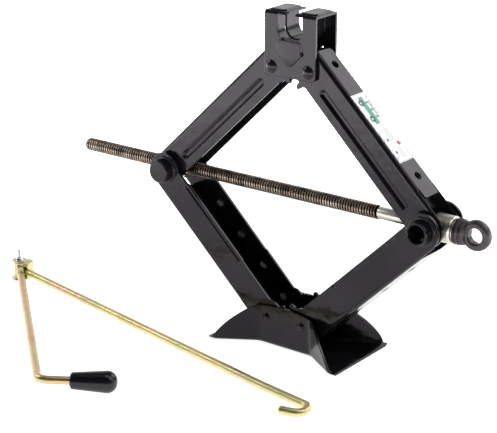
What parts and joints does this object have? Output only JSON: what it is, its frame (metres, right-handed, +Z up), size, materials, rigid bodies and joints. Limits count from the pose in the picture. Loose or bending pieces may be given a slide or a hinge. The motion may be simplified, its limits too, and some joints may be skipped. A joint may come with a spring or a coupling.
{
  "type": "scissor jack",
  "caption": "Screw-driven scissor jack with pressed channel arms, a slotted saddle, a bow-tie base and a separate folding crank handle with a hooked rod.",
  "frame": {"origin": "centre of the base plate's underside, on the floor", "axes": "+Z up, +X along the lead screw towards its eye, +Y to the back, away from the crank handle"},
  "size_m": [0.5544, 0.285, 0.3332],
  "materials": {
    "black_paint": "semi-gloss",
    "screw_steel": "oiled",
    "bright_steel": "machined",
    "forged_eye": "phosphated",
    "bronze": "satin",
    "yellow_zinc": "yellow zinc plate",
    "clear_zinc": "clear zinc plate",
    "grip_plastic": "gloss",
    "label_film": "satin"
  },
  "bodies": {
    "base": {"base_plate": "black_paint", "base_rivets": "black_paint"},
    "lower_right_arm": {"lower_right_arm": "black_paint"},
    "lower_left_arm": {"lower_left_arm": "black_paint"},
    "right_trunnion": {"right_trunnion_tube": "black_paint", "right_pivot_spacers": "black_paint", "thrust_block": "bright_steel", "rear_race": "bright_steel", "thrust_balls": "bright_steel", "ball_cage": "bronze"},
    "left_trunnion": {"left_trunnion_nut": "black_paint", "left_pivot_spacers": "black_paint"},
    "upper_right_arm": {"upper_right_arm": "black_paint", "instruction_label": "label_film"},
    "upper_left_arm": {"upper_left_arm": "black_paint"},
    "saddle": {"saddle": "black_paint", "saddle_rivets": "black_paint"},
    "screw": {"lead_screw": "screw_steel", "front_race": "bright_steel", "bronze_thrust_washer": "bronze", "screw_eye": "forged_eye", "eye_roll_pin": "forged_eye"},
    "hook_rod": {"hook_rod": "yellow_zinc", "hinge_yoke": "yellow_zinc", "hinge_rivet": "clear_zinc", "hinge_washer": "bright_steel", "rivet_stem": "bright_steel"},
    "crank": {"crank_arm": "yellow_zinc"},
    "grip": {"crank_grip": "grip_plastic"}
  },
  "joints": [
    {"name": "lift", "type": "hinge", "parent": "base", "child": "lower_right_arm", "pos_m": [0.0208, 0, 0.0292], "axis": [0, -1, 0], "range_deg": [-34, 20]},
    {"name": "lower_left_pivot", "type": "hinge", "parent": "base", "child": "lower_left_arm", "pos_m": [-0.0208, 0, 0.0292], "axis": [0, -1, 0], "range_deg": [-20, 34]},
    {"name": "right_trunnion_turn", "type": "hinge", "parent": "lower_right_arm", "child": "right_trunnion", "pos_m": [0.15028, 0, 0.15424], "axis": [0, -1, 0], "range_deg": [-20, 34]},
    {"name": "left_trunnion_turn", "type": "hinge", "parent": "lower_left_arm", "child": "left_trunnion", "pos_m": [-0.15028, 0, 0.15424], "axis": [0, -1, 0], "range_deg": [-34, 20]},
    {"name": "upper_right_turn", "type": "hinge", "parent": "right_trunnion", "child": "upper_right_arm", "pos_m": [0.15028, 0, 0.15424], "axis": [0, -1, 0], "range_deg": [-20, 34]},
    {"name": "upper_left_turn", "type": "hinge", "parent": "left_trunnion", "child": "upper_left_arm", "pos_m": [-0.15028, 0, 0.15424], "axis": [0, -1, 0], "range_deg": [-34, 20]},
    {"name": "saddle_turn", "type": "hinge", "parent": "upper_right_arm", "child": "saddle", "pos_m": [0.0208, 0, 0.27928], "axis": [0, -1, 0], "range_deg": [-34, 20]},
    {"name": "screw_spin", "type": "hinge", "parent": "right_trunnion", "child": "screw", "pos_m": [0.19408, 0, 0.15424], "axis": [1, 0, 0], "continuous": true},
    {"name": "handle_lift_off", "type": "slide", "parent": "base", "child": "hook_rod", "axis": [0, 0, 1], "range_m": [0, 0.25]},
    {"name": "crank_fold", "type": "hinge", "parent": "hook_rod", "child": "crank", "pos_m": [-0.337, -0.0455, 0.012], "axis": [0, 0, 1], "range_deg": [-60, 0]},
    {"name": "grip_spin", "type": "hinge", "parent": "crank", "child": "grip", "pos_m": [-0.0663, -0.2006, 0.012], "axis": [0.8411, 0.5409, 0], "continuous": true}
  ],
  "couplings": [
    {"joint": "lower_left_pivot", "follows": "lift", "ratio": -1},
    {"joint": "right_trunnion_turn", "follows": "lift", "ratio": -1},
    {"joint": "left_trunnion_turn", "follows": "lift", "ratio": 1},
    {"joint": "upper_right_turn", "follows": "lift", "ratio": -1},
    {"joint": "upper_left_turn", "follows": "lift", "ratio": 1},
    {"joint": "saddle_turn", "follows": "lift", "ratio": 1}
  ]
}
